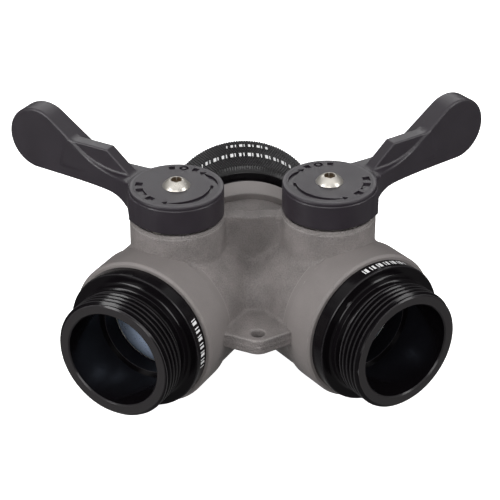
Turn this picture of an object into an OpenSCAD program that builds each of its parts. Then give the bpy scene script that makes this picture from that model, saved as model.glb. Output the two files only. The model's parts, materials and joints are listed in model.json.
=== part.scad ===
// Hose splitter: one swivel inlet, two ball-valve outlets.
// Frame: origin at the centre of the inlet opening, +Y out of the inlet, +Z up, +X to the right
// of someone who faces the outlets' backs. All sizes are in millimetres.

/* [Layout] */
// Distance between the two valve stems
stem_spacing = 58; // [57.5:0.25:60]
// Distance from the inlet opening to the plane through both stems
inlet_to_stems = 73.8; // [73.4:0.2:76]
// Angle of each outlet away from straight ahead
outlet_angle = 31.9; // [31:0.1:33]

/* [Valves] */
// Radius of each ball
ball_r = 25; // [24.6:0.1:25]
// Radius of the waterway through each ball
ball_bore_r = 17.5; // [16:0.25:18]
// Radius of the stem where it runs in its bush
stem_r = 6; // [5.8:0.05:6]
// Width of the square drive at the top of the stem
drive_w = 8; // [7.6:0.1:8.2]

/* [Body] */
// Radius of the cast chamber round each ball
chamber_r = 28.9; // [28.6:0.1:29.1]
// Radius of the turned collar at each outlet
collar_r = 29.8; // [29.5:0.1:30.1]
// Radius of each valve neck
neck_r = 18; // [17.6:0.1:18]
// Height of the top of each neck above the outlet axes
neck_top = 38.3; // [38:0.1:38.4]
// Radius of the inlet flange
flange_r = 30.1; // [29.6:0.1:31]
// Thickness of the mounting tab
tab_t = 6.2; // [5:0.2:6.8]
// Radius of the hole in the mounting tab
tab_hole_r = 2.7; // [2.2:0.1:3]

/* [Threads] */
// Radius over the crests of the male outlet threads
male_thread_r = 23.86; // [23.8:0.01:23.9]
// Radius inside the crests of the female inlet thread
female_thread_r = 22.6; // [22.5:0.05:22.8]
// Radius of the waterway through the outlets and the inlet
waterway_r = 19.05; // [18.5:0.05:19.1]

/* [Handles] */
// Radius of the handle's disc
disc_r = 18; // [17.8:0.1:18.2]
// Height of the disc's top above the outlet axes
disc_top = 50.7; // [50.5:0.1:51]
// Height of the disc's underside
disc_bottom = 39.3; // [39.2:0.1:39.4]
// Distance from the stem to the centre of the paddle's round end
paddle_reach = 64.3; // [62:0.5:70]
// Radius of the paddle's round end
paddle_r = 12.7; // [12:0.1:13]

/* [Hidden] */
$fn = 96;
eps = 0.01;

LEFT = -1;
RIGHT = 1;
slip = 0.05;          // radial clearance of a shaft or a seal in its bore
gap = 0.2;            // clearance between a ball and its seats

// Along an outlet axis, measured from the stem
chamber_back = -14;
taper_back = -24;
leg_back = -46;
leg_r = 22.8;
collar_start = 13.8;
collar_end = 27.4;
rim_chamfer = 0.8;
chamber_bore_r = 25.4;
chamber_bore_back = -12;
seat_pocket_back = -17.4;
seat_pocket_r = 23.2;
seat_front = 12.9;
seat_end = 17.2;
adapter_spigot_r = 25.2;
adapter_start = 17.3;
lip_r = 17.8;
lip_start = 18.2;
lip_end = 25.4;
ball_recess_r = 18.6;
adapter_flange_r = 28;
adapter_flange_end = 33.4;
hub_r = 23.9;
hub_end = 36.6;
relief_r = 22.2;
thread_start = 37.6;
thread_end = 48.1;
outlet_end = 48.9;
nose_r = 22.9;
oring_groove_w = 2.2;
adapter_oring_at = 25.2;
adapter_oring_ring_r = 24.5;
adapter_oring_r = 0.85;

// Up the stem, measured from the outlet axes
slot_bottom = 20;
slot_w = 6.2;
slot_len = 30;
tang_w = 6;
tang_len = 13;
tang_bottom = 20.3;
stem_flange_r = 8.8;
stem_flange_bottom = 25.6;
stem_flange_top = 28.8;
washer_bottom = 28.95;
counterbore_r = 9.2;
counterbore_top = 30;
stem_oring_heights = [31.4, 33.8];
stem_oring_ring_r = 5.3;
stem_oring_r = 0.72;
bush_bottom = 35.2;
bush_r = 8;
drive_bottom = 39.2;
drive_top = 46.9;
drive_pocket_top = 47.2;
screw_r = 3;
screw_tip = 37.5;
screw_head_r = 5.3;
screw_head_h = 3.3;
hex_w = 4;
hex_depth = 2;
handle_washer_r = 11;
handle_washer_bottom = 38.4;
handle_washer_top = 39.15;
stop_pin_at = 14.8;
stop_pin_r = 1.5;
stop_pin_bottom = 32;
stop_pin_top = 42.3;
stop_slot_r = 2;
stop_slot_top = 42.8;
handle_travel = 90;
left_overtravel = 1.4;      // the left handle rests this far past square

// Handle blade, as distances from the stem (reach), across the blade (side) and up
blade_front = 0;
blade_back = -8.9;
blade_base_top = 49.4;
blade_bottom = 41.7;
blade_slope = 35;
blade_blend_r = 30;
gusset_back = -4.5;
gusset_front = 0.5;
gusset_top = 58.1;

// Along the inlet axis, measured from the inlet opening; the body is at negative y
flange_front = -42.8;
flange_rear = -32.1;
drum_start = -58;
drum_r = 27.5;
throat_r = 23.3;
throat_front = -45.2;
tailpiece_r = 23.1;
shoulder_r = 27.4;
shoulder_rear = -26.6;
race_r = 26.4;
race_rear = -16;
swivel_front = -25.4;
swivel_r = 32.6;
swivel_bevel = 2.4;
ball_race_at = -22.3;
race_ball_r = 1.55;
race_groove_r = 1.62;
race_ball_count = 40;
swivel_oring_at = -18.8;
swivel_oring_ring_r = 25.6;
swivel_oring_r = 0.8;
tailpiece_oring_at = -33.6;
tailpiece_oring_ring_r = 22.4;
tailpiece_oring_r = 0.85;
gasket_chamber_front = -15.7;
gasket_chamber_rear = -11.7;
gasket_chamber_r = 24.2;
gasket_r = 24;
gasket_t = 3;
gasket_bore_r = 19.4;
plug_r = 2.05;

// Rib between the necks, the cones that fill the crotch and the tab, measured from the stems' plane
rib_front = 0;
rib_t = 5.5;
rib_top = 36.6;
crotch_r = 14.1;
crotch_top_r = 3;
crotch_top = 16.5;
crotch_y = -2;
tab_hole_y = -30.4;
tab_nose_r = 5.8;
tab_root_y = -6;
tab_slope = 29;
tab_half_w = 14;

// Places children at one valve: X out of the outlet, Z up the stem
module at_valve(side) {
    translate([side * stem_spacing / 2, -inlet_to_stems, 0])
        rotate([0, 0, -90 + side * outlet_angle])
            children();
}

// Places children in the stems' plane, midway between the valves
module at_stems() {
    translate([0, -inlet_to_stems, 0]) children();
}

// Places children on one stem, turned as its handle rests
module at_stem(side) {
    at_valve(side)
        rotate([0, 0, side == LEFT ? -left_overtravel : 0])
            children();
}

// A cylinder or cone along the outlet axis, from one distance to another
module along_outlet(from, to, r1, r2) {
    translate([from, 0, 0])
        rotate([0, 90, 0])
            cylinder(h = to - from, r1 = r1, r2 = r2);
}

// A cylinder or cone along the inlet axis, from one y to a larger y
module along_inlet(from, to, r1, r2) {
    translate([0, from, 0])
        rotate([-90, 0, 0])
            cylinder(h = to - from, r1 = r1, r2 = r2);
}

// A ring with a square section along Z
module washer(outer_r, inner_r, bottom, top) {
    difference() {
        translate([0, 0, bottom])
            cylinder(h = top - bottom, r = outer_r);
        translate([0, 0, bottom - 1])
            cylinder(h = top - bottom + 2, r = inner_r);
    }
}

// A round-section ring about Z
module oring(ring_r, section_r) {
    rotate_extrude()
        translate([ring_r, 0])
            circle(r = section_r, $fn = 32);
}

// ---------------------------------------------------------------- body casting

module valve_casting() {
    along_outlet(chamber_back, collar_start + 1, chamber_r, chamber_r);
    along_outlet(taper_back, chamber_back, leg_r, chamber_r);
    along_outlet(collar_start, collar_end - rim_chamfer, collar_r, collar_r);
    along_outlet(collar_end - rim_chamfer, collar_end, collar_r, collar_r - rim_chamfer);
    cylinder(h = neck_top - 0.6, r = neck_r);
    translate([0, 0, neck_top - 0.6])
        cylinder(h = 0.6, r1 = neck_r, r2 = neck_r - 0.6);
}

// The passages from both chambers, held inside a cone that narrows to the inlet
module legs(r, cone_r) {
    reach = 70;
    intersection() {
        union() {
            for (side = [LEFT, RIGHT])
                at_valve(side) along_outlet(leg_back, taper_back + 12, r, r);
        }
        along_inlet(flange_front - reach, flange_front + eps, cone_r + reach, cone_r);
    }
}

// A rounded nose round the hole, with straight flanks that run into both collars
module tab_outline() {
    flank_x = tab_nose_r * sin(tab_slope);
    flank_y = tab_hole_y - tab_nose_r * cos(tab_slope);
    side_y = flank_y + (tab_half_w - flank_x) * tan(tab_slope);
    polygon([
        [-tab_half_w, side_y], [-flank_x, flank_y], [flank_x, flank_y], [tab_half_w, side_y],
        [tab_half_w, tab_root_y], [-tab_half_w, tab_root_y]
    ]);
    translate([0, tab_hole_y]) circle(r = tab_nose_r);
}

module body() color([0.46, 0.44, 0.43]) difference() {
    union() {
        for (side = [LEFT, RIGHT])
            at_valve(side) valve_casting();
        legs(leg_r, flange_r - 0.6);
        along_inlet(drum_start, drum_start + 9, leg_r - 0.5, drum_r);
        along_inlet(drum_start + 9, flange_front + 1, drum_r, drum_r);
        along_inlet(flange_front, flange_rear, flange_r, flange_r);
        at_stems() {
            translate([-stem_spacing / 2 + neck_r - 3, rib_front, 0])
                cube([stem_spacing - 2 * neck_r + 6, rib_t, rib_top]);
            for (up = [0, 1])
                translate([0, crotch_y, 0])
                    mirror([0, 0, up])
                        cylinder(h = crotch_top, r1 = crotch_r, r2 = crotch_top_r);
            translate([0, 0, -tab_t / 2])
                linear_extrude(tab_t) tab_outline();
        }
    }
    for (side = [LEFT, RIGHT])
        at_valve(side) {
            along_outlet(chamber_bore_back, collar_end + 30, chamber_bore_r, chamber_bore_r);
            along_outlet(seat_pocket_back, 0, seat_pocket_r, seat_pocket_r);
            cylinder(h = neck_top + 1, r = stem_r + slip);
            cylinder(h = counterbore_top, r = counterbore_r);
            translate([0, 0, bush_bottom])
                cylinder(h = neck_top, r = bush_r + 0.02);
            translate([stop_pin_at, 0, stop_pin_bottom - 0.2])
                cylinder(h = neck_top, r = stop_pin_r + 0.02, $fn = 32);
        }
    legs(waterway_r - 0.5, throat_r);
    for (side = [LEFT, RIGHT])
        at_valve(side) along_outlet(seat_pocket_back - 4, 0, waterway_r - 0.5, waterway_r - 0.5);
    along_inlet(throat_front, flange_rear + 1, throat_r, throat_r);
    at_stems()
        translate([0, tab_hole_y, -tab_t])
            cylinder(h = 2 * tab_t, r = tab_hole_r);
}

// ---------------------------------------------------------------- outlet adapters and seats

module outlet_adapter(side) color([0.05, 0.045, 0.05]) at_valve(side) difference() {
    union() {
        along_outlet(adapter_start, collar_end, adapter_spigot_r, adapter_spigot_r);
        along_outlet(collar_end, adapter_flange_end - 0.5, adapter_flange_r, adapter_flange_r);
        along_outlet(adapter_flange_end - 0.5, adapter_flange_end,
                     adapter_flange_r, adapter_flange_r - 0.5);
        along_outlet(adapter_flange_end - eps, hub_end, hub_r, hub_r);
        along_outlet(hub_end - eps, thread_start + eps, relief_r, relief_r);
        along_outlet(thread_start, thread_end, male_thread_r, male_thread_r);
        along_outlet(thread_end, outlet_end, male_thread_r, nose_r);
    }
    along_outlet(adapter_start - 1, lip_start, ball_recess_r, ball_recess_r);
    along_outlet(adapter_start, outlet_end, lip_r, lip_r);
    along_outlet(lip_end, outlet_end + 1, waterway_r, waterway_r);
    translate([adapter_oring_at, 0, 0])
        rotate([0, 90, 0])
            groove(adapter_spigot_r, adapter_oring_ring_r - adapter_oring_r - 0.05);
    translate([adapter_start - eps, 0, 0])
        rotate([0, 90, 0])
            washer(23.1, 20.9, 0, 1.7);
}

// A square groove cut into a shaft about Z
module groove(shaft_r, floor_r) {
    washer(shaft_r + 1, floor_r, -oring_groove_w / 2, oring_groove_w / 2);
}

module adapter_oring(side) color([0.04, 0.04, 0.04]) at_valve(side)
    translate([adapter_oring_at, 0, 0])
        rotate([0, 90, 0])
            oring(adapter_oring_ring_r, adapter_oring_r);

module seat(outer_r) {
    difference() {
        along_outlet(seat_front, seat_end, outer_r, outer_r);
        along_outlet(seat_front - 1, seat_end + 1, ball_bore_r, ball_bore_r);
        sphere(r = ball_r + gap);
    }
}

module outer_seat(side) color([0.93, 0.92, 0.88]) at_valve(side)
    seat(chamber_bore_r - 0.1);

module inner_seat(side) color([0.93, 0.92, 0.88]) at_valve(side)
    mirror([1, 0, 0]) seat(seat_pocket_r - 0.1);

module seat_energiser(side) color([0.04, 0.04, 0.04]) at_valve(side)
    translate([adapter_start + 0.85, 0, 0])
        rotate([0, 90, 0])
            oring(22, 0.8);

// ---------------------------------------------------------------- stem and what guides it

module ball(side) color([0.72, 0.73, 0.74]) at_stem(side)
    rotate([0, 0, 90])
        difference() {
            sphere(r = ball_r);
            along_outlet(-ball_r - 1, ball_r + 1, ball_bore_r, ball_bore_r);
            translate([-slot_w / 2, -slot_len / 2, slot_bottom])
                cube([slot_w, slot_len, ball_r]);
        }

module stem(side) color([0.66, 0.66, 0.68]) at_stem(side) difference() {
    union() {
        translate([-tang_len / 2, -tang_w / 2, tang_bottom])
            cube([tang_len, tang_w, stem_flange_bottom - tang_bottom + 1]);
        translate([0, 0, stem_flange_bottom])
            cylinder(h = stem_flange_top - stem_flange_bottom, r = stem_flange_r);
        translate([0, 0, stem_flange_bottom])
            cylinder(h = drive_bottom - stem_flange_bottom, r = stem_r);
        translate([-drive_w / 2, -drive_w / 2, drive_bottom - 1])
            cube([drive_w, drive_w, drive_top - drive_bottom + 1]);
    }
    for (z = stem_oring_heights)
        translate([0, 0, z])
            washer(stem_r + 1, stem_oring_ring_r - stem_oring_r - 0.05, -0.95, 0.95);
    translate([0, 0, screw_tip - 1])
        cylinder(h = drive_top, r = screw_r + 0.02);
}

module stem_orings(side) color([0.04, 0.04, 0.04]) at_stem(side)
    for (z = stem_oring_heights)
        translate([0, 0, z]) oring(stem_oring_ring_r, stem_oring_r);

module thrust_washer(side) color([0.93, 0.92, 0.88]) at_valve(side)
    washer(counterbore_r - 0.1, stem_r + slip, washer_bottom, counterbore_top);

module stem_bush(side) color([0.72, 0.55, 0.3]) at_valve(side)
    washer(bush_r, stem_r + slip, bush_bottom + 0.05, neck_top - 0.05);

module handle_washer(side) color([0.93, 0.92, 0.88]) at_valve(side)
    washer(handle_washer_r, stem_r + 0.3, handle_washer_bottom, handle_washer_top);

module stop_pin(side) color([0.7, 0.7, 0.72]) at_valve(side)
    translate([stop_pin_at, 0, stop_pin_bottom])
        cylinder(h = stop_pin_top - stop_pin_bottom, r = stop_pin_r, $fn = 32);

// ---------------------------------------------------------------- handles

// Points along an arc, from one angle to another
function arc(cx, cy, r, from, to, steps) =
    [for (i = [0:steps]) let (a = from + (to - from) * i / steps) [cx + r * cos(a), cy + r * sin(a)]];

// Where the sloping top edge would meet the flat top of the blade's base
slope_corner = paddle_reach - paddle_r * sin(blade_slope)
    - (blade_bottom + paddle_r * (1 + cos(blade_slope)) - blade_base_top) / tan(blade_slope);
blend_start = slope_corner - blade_blend_r * tan(blade_slope / 2);

// Blade seen from the front: reach along x, height along y
module blade_elevation() {
    polygon(concat(
        [[8, disc_bottom], [17, disc_bottom], [20.5, disc_bottom + 1], [26, blade_bottom - 0.5],
         [36, blade_bottom]],
        arc(paddle_reach, blade_bottom + paddle_r, paddle_r, -90, 90 + blade_slope, 30),
        arc(blend_start, blade_base_top + blade_blend_r, blade_blend_r, -90 + blade_slope, -90, 8),
        [[8, blade_base_top]]
    ));
}

// Blade seen from above: side along x, reach along y
module blade_plan() {
    tip = paddle_reach + paddle_r + 1;
    polygon([
        [-10.2, 8], [-10.2, 14.8], [-9.6, 24], [blade_back, 44], [blade_back, tip],
        [blade_front, tip], [blade_front + 0.3, 60], [blade_front + 1, 49], [blade_front + 1.7, 38],
        [blade_front + 2.8, 31], [blade_front + 4.2, 25], [blade_front + 6.3, 20],
        [blade_front + 9.3, 15.4], [blade_front + 9.3, 8]
    ]);
}

// Turns an outline drawn as reach and height into a plate between two sides
module upright(from, to) {
    translate([from, 0, 0])
        rotate([90, 0, 90])
            linear_extrude(to - from) children();
}

// The right handle, pointing along +Y from its stem; the left one is its mirror image
module handle_shape() {
    difference() {
        union() {
            translate([0, 0, disc_bottom])
                cylinder(h = disc_top - disc_bottom, r = disc_r);
            intersection() {
                upright(-14, 14) blade_elevation();
                linear_extrude(100) blade_plan();
            }
            upright(gusset_back, gusset_front)
                polygon([[17.6, blade_base_top - 1], [20.5, blade_base_top], [30.8, gusset_top],
                         [49, gusset_top], [49, blade_base_top - 1]]);
        }
        translate([-drive_w / 2 - slip, -drive_w / 2 - slip, disc_bottom - 1])
            cube([drive_w + 2 * slip, drive_w + 2 * slip, drive_pocket_top - disc_bottom + 1]);
        cylinder(h = disc_top + 1, r = screw_r + 0.2);
        stop_slot();
    }
}

// The arc under the disc that the stop pin stands in
module stop_slot() {
    h = stop_slot_top - disc_bottom + 1;
    translate([0, 0, disc_bottom - 1]) {
        rotate_extrude(angle = handle_travel)
            translate([stop_pin_at - stop_slot_r, 0])
                square([2 * stop_slot_r, h]);
        for (a = [0, handle_travel])
            rotate([0, 0, a])
                translate([stop_pin_at, 0, 0])
                    cylinder(h = h, r = stop_slot_r, $fn = 32);
    }
}

module handle(side) color([0.2, 0.19, 0.21]) at_stem(side)
    mirror([0, side == LEFT ? 1 : 0, 0]) handle_shape();

module handle_screw(side) color([0.82, 0.81, 0.78]) at_stem(side) difference() {
    dome_r = (screw_head_r * screw_head_r + screw_head_h * screw_head_h) / (2 * screw_head_h);
    union() {
        translate([0, 0, screw_tip])
            cylinder(h = disc_top - screw_tip + 0.5, r = screw_r);
        intersection() {
            translate([0, 0, disc_top + 0.02])
                cylinder(h = screw_head_h, r = screw_head_r);
            translate([0, 0, disc_top + screw_head_h - dome_r])
                sphere(r = dome_r);
        }
    }
    translate([0, 0, disc_top + screw_head_h - hex_depth])
        cylinder(h = hex_depth + 1, d = hex_w / cos(30), $fn = 6);
}

// ---------------------------------------------------------------- inlet

module inlet_tailpiece() color([0.05, 0.045, 0.05]) difference() {
    union() {
        along_inlet(throat_front + 0.2, flange_rear + eps, tailpiece_r, tailpiece_r);
        along_inlet(flange_rear, shoulder_rear, shoulder_r, shoulder_r);
        along_inlet(shoulder_rear - eps, race_rear, race_r, race_r);
    }
    along_inlet(throat_front - 1, race_rear + 1, waterway_r, waterway_r);
    translate([0, ball_race_at, 0])
        rotate([90, 0, 0]) oring(race_r + slip / 2, race_groove_r);
    translate([0, swivel_oring_at, 0])
        rotate([90, 0, 0]) groove(race_r, swivel_oring_ring_r - swivel_oring_r - 0.05);
    translate([0, tailpiece_oring_at, 0])
        rotate([90, 0, 0]) groove(tailpiece_r, tailpiece_oring_ring_r - tailpiece_oring_r - 0.05);
}

module tailpiece_oring() color([0.04, 0.04, 0.04])
    translate([0, tailpiece_oring_at, 0])
        rotate([90, 0, 0]) oring(tailpiece_oring_ring_r, tailpiece_oring_r);

module swivel_oring() color([0.04, 0.04, 0.04])
    translate([0, swivel_oring_at, 0])
        rotate([90, 0, 0]) oring(swivel_oring_ring_r, swivel_oring_r);

module swivel_balls() color([0.75, 0.75, 0.76])
    for (i = [0:race_ball_count - 1])
        rotate([0, i * 360 / race_ball_count, 0])
            translate([race_r + slip / 2, ball_race_at, 0])
                sphere(r = race_ball_r, $fn = 32);

module swivel_outside() {
    along_inlet(swivel_front, swivel_front + swivel_bevel, swivel_r - swivel_bevel, swivel_r);
    along_inlet(swivel_front + swivel_bevel, -0.8, swivel_r, swivel_r);
    along_inlet(-0.8, 0, swivel_r, swivel_r - 0.8);
}

module swivel_ring() color([0.05, 0.045, 0.05]) difference() {
    swivel_outside();
    along_inlet(swivel_front - 1, gasket_chamber_front, race_r + slip, race_r + slip);
    along_inlet(gasket_chamber_front - 1, gasket_chamber_rear, gasket_chamber_r, gasket_chamber_r);
    along_inlet(gasket_chamber_rear - 1, 1, female_thread_r, female_thread_r);
    translate([0, ball_race_at, 0])
        rotate([90, 0, 0]) oring(race_r + slip / 2, race_groove_r);
    translate([0, ball_race_at, -swivel_r - 1])
        cylinder(h = 8, r = plug_r + 0.03, $fn = 32);
}

module swivel_ball_plug() color([0.3, 0.3, 0.31])
    translate([0, ball_race_at, -swivel_r + 1.1])
        difference() {
            cylinder(h = 3, r = plug_r, $fn = 32);
            translate([0, 0, -1])
                cylinder(h = 2.2, d = 2 / cos(30), $fn = 6);
        }

module inlet_gasket() color([0.07, 0.07, 0.07]) difference() {
    along_inlet(gasket_chamber_front + 0.1, gasket_chamber_front + 0.1 + gasket_t, gasket_r, gasket_r);
    along_inlet(gasket_chamber_front - 1, 0, gasket_bore_r, gasket_bore_r);
}

body();
outlet_adapter(LEFT);  // left_outlet_adapter
outlet_adapter(RIGHT);  // right_outlet_adapter
adapter_oring(LEFT);  // left_adapter_oring
adapter_oring(RIGHT);  // right_adapter_oring
outer_seat(LEFT);  // left_outer_seat
outer_seat(RIGHT);  // right_outer_seat
inner_seat(LEFT);  // left_inner_seat
inner_seat(RIGHT);  // right_inner_seat
seat_energiser(LEFT);  // left_seat_energiser
seat_energiser(RIGHT);  // right_seat_energiser
thrust_washer(LEFT);  // left_thrust_washer
thrust_washer(RIGHT);  // right_thrust_washer
stem_bush(LEFT);  // left_stem_bush
stem_bush(RIGHT);  // right_stem_bush
handle_washer(LEFT);  // left_handle_washer
handle_washer(RIGHT);  // right_handle_washer
stop_pin(LEFT);  // left_stop_pin
stop_pin(RIGHT);  // right_stop_pin
ball(LEFT);  // left_ball
ball(RIGHT);  // right_ball
stem(LEFT);  // left_stem
stem(RIGHT);  // right_stem
stem_orings(LEFT);  // left_stem_orings
stem_orings(RIGHT);  // right_stem_orings
handle(LEFT);  // left_handle
handle(RIGHT);  // right_handle
handle_screw(LEFT);  // left_handle_screw
handle_screw(RIGHT);  // right_handle_screw
inlet_tailpiece();
tailpiece_oring();
swivel_oring();
swivel_balls();
swivel_ring();
swivel_ball_plug();
inlet_gasket();
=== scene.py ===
import json
import math

import bmesh
import bpy
import numpy as np
from mathutils import Matrix, Vector


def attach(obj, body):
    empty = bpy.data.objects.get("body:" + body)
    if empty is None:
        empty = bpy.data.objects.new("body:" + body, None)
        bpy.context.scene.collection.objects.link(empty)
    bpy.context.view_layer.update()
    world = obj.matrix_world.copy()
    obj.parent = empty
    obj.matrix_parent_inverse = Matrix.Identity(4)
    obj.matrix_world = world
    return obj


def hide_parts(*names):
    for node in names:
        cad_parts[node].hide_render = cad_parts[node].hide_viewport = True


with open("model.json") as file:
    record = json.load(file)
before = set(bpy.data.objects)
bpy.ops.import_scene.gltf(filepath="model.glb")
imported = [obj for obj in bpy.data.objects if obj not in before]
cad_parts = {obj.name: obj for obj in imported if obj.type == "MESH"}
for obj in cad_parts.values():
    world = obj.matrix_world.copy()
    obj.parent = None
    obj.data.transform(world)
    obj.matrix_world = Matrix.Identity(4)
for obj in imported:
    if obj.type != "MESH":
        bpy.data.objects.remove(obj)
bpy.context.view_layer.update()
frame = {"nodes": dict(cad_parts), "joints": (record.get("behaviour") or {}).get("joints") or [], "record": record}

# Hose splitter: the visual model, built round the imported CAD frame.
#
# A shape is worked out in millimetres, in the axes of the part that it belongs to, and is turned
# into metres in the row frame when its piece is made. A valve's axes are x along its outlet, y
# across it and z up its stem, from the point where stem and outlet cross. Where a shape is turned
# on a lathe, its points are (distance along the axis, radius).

MM = 0.001
UP = Vector((0, 0, 1))
SIDES = ("left", "right")
joints = {j["name"]: j for j in frame["joints"]}
mounts = {m["name"]: m for m in frame["record"]["mounts"]}

stems = {s: Vector(joints[f"{s}_handle_turn"]["pos_m"]) / MM for s in SIDES}
outlets = {s: Vector(mounts[f"{s}_outlet_thread"]["axis"]) for s in SIDES}
inlet = Vector(mounts["inlet_thread"]["axis"])
stem_x = stems["right"].x
stem_y = stems["right"].y
OUTLET_SIN = outlets["right"].x
OUTLET_COS = -outlets["right"].y
left_overtravel = math.radians(joints["left_handle_turn"]["range_deg"][1] - 90)


# ---------------------------------------------------------------- placing shapes


def placement(first, second, origin):
    """From a part's own axes, in millimetres, to the row frame, in metres."""
    m = Matrix((first, second, first.cross(second))).transposed().to_4x4()
    m.translation = origin * MM
    return m @ Matrix.Scale(MM, 4)


def valve_place(side):
    return placement(outlets[side], UP.cross(outlets[side]), Vector((stems[side].x, stem_y, 0)))


def handle_place(side):
    """The left handle is the right one's mirror image, turned a little past square."""
    place = valve_place(side)
    if side == "left":
        turn = Matrix.Rotation(-left_overtravel, 4, "Z")
        place = place @ turn @ Matrix.Scale(-1, 4, Vector((0, 1, 0)))
    return place


def about_stem(place):
    """The same place for a shape turned about the stem."""
    return place @ Matrix(((0, 1, 0, 0), (0, 0, 1, 0), (1, 0, 0, 0), (0, 0, 0, 1)))


inlet_place = placement(inlet, UP.cross(inlet), Vector((0, 0, 0)))
casting_place = placement(Vector((1, 0, 0)), Vector((0, 1, 0)), Vector((0, stem_y, 0)))


# ---------------------------------------------------------------- making pieces


def make_piece(name, shape, place, material, body, stands_for=None, sharp=35):
    """A piece from (points, faces), shaded smooth except where faces meet more sharply."""
    points, faces = shape
    moved = np.asarray(points, float) @ np.array(place.to_3x3()).T + np.array(place.translation)
    mesh = bpy.data.meshes.new(name)
    mesh.from_pydata(moved.tolist(), [], [[int(i) for i in f] for f in faces])
    work = bmesh.new()
    work.from_mesh(mesh)
    bmesh.ops.remove_doubles(work, verts=work.verts, dist=1e-6)
    bmesh.ops.dissolve_degenerate(work, edges=work.edges, dist=1e-6)
    bmesh.ops.recalc_face_normals(work, faces=work.faces)
    work.to_mesh(mesh)
    work.free()
    mesh.polygons.foreach_set("use_smooth", [True] * len(mesh.polygons))
    mesh.set_sharp_from_angle(angle=math.radians(sharp))
    mesh.materials.append(material)
    piece = bpy.data.objects.new(name, mesh)
    bpy.context.scene.collection.objects.link(piece)
    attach(piece, body)
    if stands_for:
        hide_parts(stands_for)
    return piece


def joined(*shapes):
    """Several (points, faces) as one."""
    points = []
    faces = []
    count = 0
    for p, f in shapes:
        points.append(np.asarray(p, float))
        faces += [[i + count for i in face] for face in f]
        count += len(p)
    return np.concatenate(points), faces


def grid_faces(rows, columns, close_rows, close_columns):
    """Quads between the points of a grid that is stored row by row."""
    i = np.arange(rows if close_rows else rows - 1)[:, None]
    j = np.arange(columns if close_columns else columns - 1)[None, :]
    i2 = (i + 1) % rows
    j2 = (j + 1) % columns
    corners = [i * columns + j, i * columns + j2, i2 * columns + j2, i2 * columns + j]
    return np.stack(np.broadcast_arrays(*corners), -1).reshape(-1, 4)


def softened(points, steps=3):
    """An outline whose corners with a third number are rounded off over that distance."""
    out = []
    for i, p in enumerate(points):
        corner = np.array(p[:2], float)
        if len(p) == 2:
            out.append(corner)
            continue
        ends = []
        for other in (points[i - 1], points[(i + 1) % len(points)]):
            way = np.array(other[:2], float) - corner
            ends.append(corner + way / np.linalg.norm(way) * p[2])
        for t in np.linspace(0, 1, steps + 1):
            out.append(ends[0] * (1 - t) ** 2 + corner * 2 * t * (1 - t) + ends[1] * t**2)
    return np.array(out)


def supported(points, closed, near=0.35):
    """The same outline with extra points close to the corners of its long sides."""
    out = []
    for i, here in enumerate(points):
        there = points[(i + 1) % len(points)]
        out.append(here)
        length = np.linalg.norm(there - here)
        if length > 3 * near and (closed or i < len(points) - 1):
            step = (there - here) * near / length
            out += [here + step, there - step]
    return np.array(out)


def around(along, radius, turn):
    """Points from distances along the first axis, radii and angles about it, as one list."""
    parts = np.broadcast_arrays(along, radius * np.cos(turn), radius * np.sin(turn))
    return np.stack(parts, -1).reshape(-1, 3)


def lathe(profile, segments=144, closed=True):
    """An outline of (distance along, radius) turned about the first axis."""
    along, radius = supported(softened(profile), closed).T
    turn = np.arange(segments) * 2 * math.pi / segments
    points = around(along[:, None], radius[:, None], turn)
    return points, grid_faces(len(along), segments, closed, True)


def loft(loops):
    """A closed solid through loops of points, with a flat end on the first and the last."""
    points = np.concatenate(loops)
    count = len(loops[0])
    faces = grid_faces(len(loops), count, False, True).tolist()
    faces.append(list(range(count)))
    faces.append(list(range(len(points) - count, len(points))))
    return points, faces


def arc(cx, cy, radius, start, end, steps):
    """Points along an arc, with angles in degrees."""
    turn = np.radians(np.linspace(start, end, steps + 1))
    return [(cx + radius * math.cos(a), cy + radius * math.sin(a)) for a in turn]


# ---------------------------------------------------------------- solids from distances


def outline_distance(px, py, points):
    """Distance to a closed outline, negative inside it."""
    nearest = np.inf
    inside = False
    for (ax, ay), (bx, by) in zip(points, points[1:] + points[:1]):
        ex, ey = bx - ax, by - ay
        share = np.clip(((px - ax) * ex + (py - ay) * ey) / (ex * ex + ey * ey), 0, 1)
        nearest = np.minimum(nearest, (px - ax - ex * share) ** 2 + (py - ay - ey * share) ** 2)
        if ey:
            inside = inside ^ (((ay > py) != (by > py)) & (px < ax + ex * (py - ay) / ey))
    return np.where(inside, -1, 1) * np.sqrt(nearest)


def slab(value, low, high):
    """Distance to what lies between two parallel planes."""
    return np.abs(value - (low + high) / 2) - (high - low) / 2


def rod(along, away, start, end, radius):
    """Distance to a cylinder, from distances along its axis and away from it."""
    a = slab(along, start, end)
    b = away - radius
    return np.minimum(np.maximum(a, b), 0) + np.hypot(np.maximum(a, 0), np.maximum(b, 0))


def cone(along, away, at, radius, growth):
    """Distance to the inside of an endless cone of that radius at one place."""
    return (away - radius - growth * (along - at)) / math.hypot(1, growth)


def blended(a, b, r):
    """Both solids, with a fillet of radius r where they meet."""
    return np.maximum(r, np.minimum(a, b)) - np.hypot(np.maximum(r - a, 0), np.maximum(r - b, 0))


def shared(a, b, r):
    """What both solids hold, with its edge rounded to radius r."""
    return -blended(-a, -b, r)


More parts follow.
